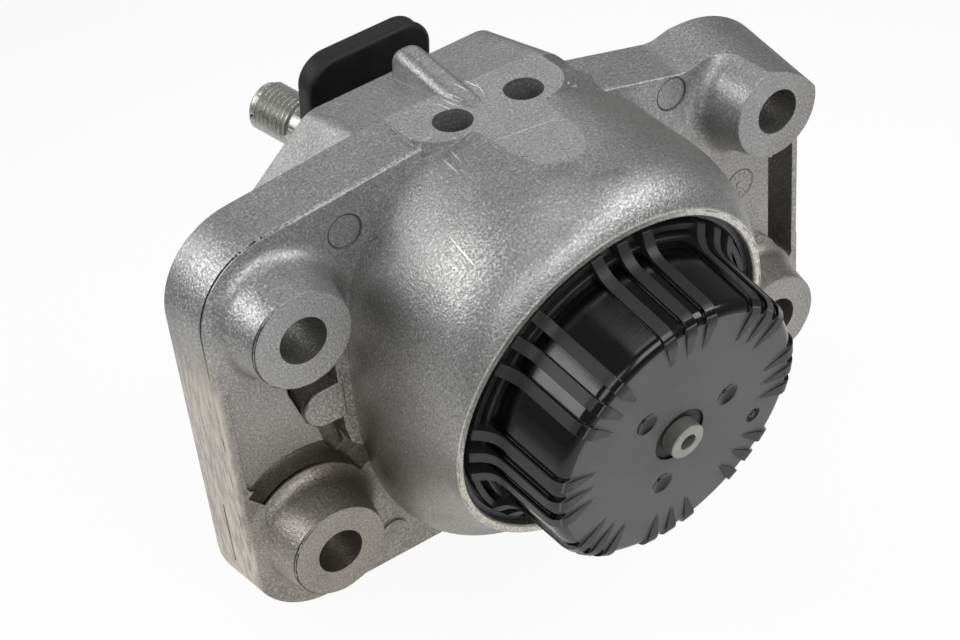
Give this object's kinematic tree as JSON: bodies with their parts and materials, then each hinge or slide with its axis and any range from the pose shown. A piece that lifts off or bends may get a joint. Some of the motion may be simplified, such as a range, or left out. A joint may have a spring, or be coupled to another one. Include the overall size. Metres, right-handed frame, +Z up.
{
  "type": "engine mount",
  "caption": "Hydraulic engine mount: cast flange housing with a tilted dome, ribbed plastic cap, rubber-sprung core, stop plate and stud.",
  "frame": {"origin": "centre of the rectangle of four bolt holes, in the plane of the four boss faces", "axes": "+X along the flange, +Y from the capped side towards the stud side, square to the boss faces, +Z up, towards the land with the two holes"},
  "size_m": [0.1758, 0.1615, 0.1232],
  "materials": {
    "cast_aluminium": "die-cast, shot-blasted",
    "channel_aluminium": "die-cast",
    "core_aluminium": "forged",
    "cap_plastic": "moulded, glass-filled, glossy walls",
    "port_plastic": "moulded",
    "black_rubber": "moulded",
    "spring_rubber": "moulded natural rubber",
    "ring_steel": "phosphated",
    "zinc_steel": "zinc plated"
  },
  "bodies": {
    "mount_body": {"housing": "cast_aluminium", "bottom_cap": "cap_plastic", "snap_ring": "ring_steel", "port_sleeve": "port_plastic", "port_grommet": "black_rubber", "port_o_ring": "black_rubber", "bellows_diaphragm": "black_rubber", "bellows_clamp": "ring_steel", "lower_channel_plate": "channel_aluminium", "upper_channel_plate": "channel_aluminium", "channel_seal": "black_rubber", "plate_rivets": "ring_steel", "decoupler_membrane": "black_rubber", "air_cup": "cap_plastic", "spring_outer_ring": "ring_steel", "main_spring": "spring_rubber"},
    "core_side": {"core": "core_aluminium", "travel_buffer": "spring_rubber", "stop_plate": "ring_steel", "stop_buffer": "spring_rubber", "stud": "zinc_steel"}
  },
  "joints": [
    {"name": "core_travel", "type": "slide", "parent": "mount_body", "child": "core_side", "axis": [-0.0535, 0.988, 0.1452], "range_m": [-0.01, 0.008], "stiffness_N_per_m": 120000, "deforming": ["main_spring"]}
  ]
}
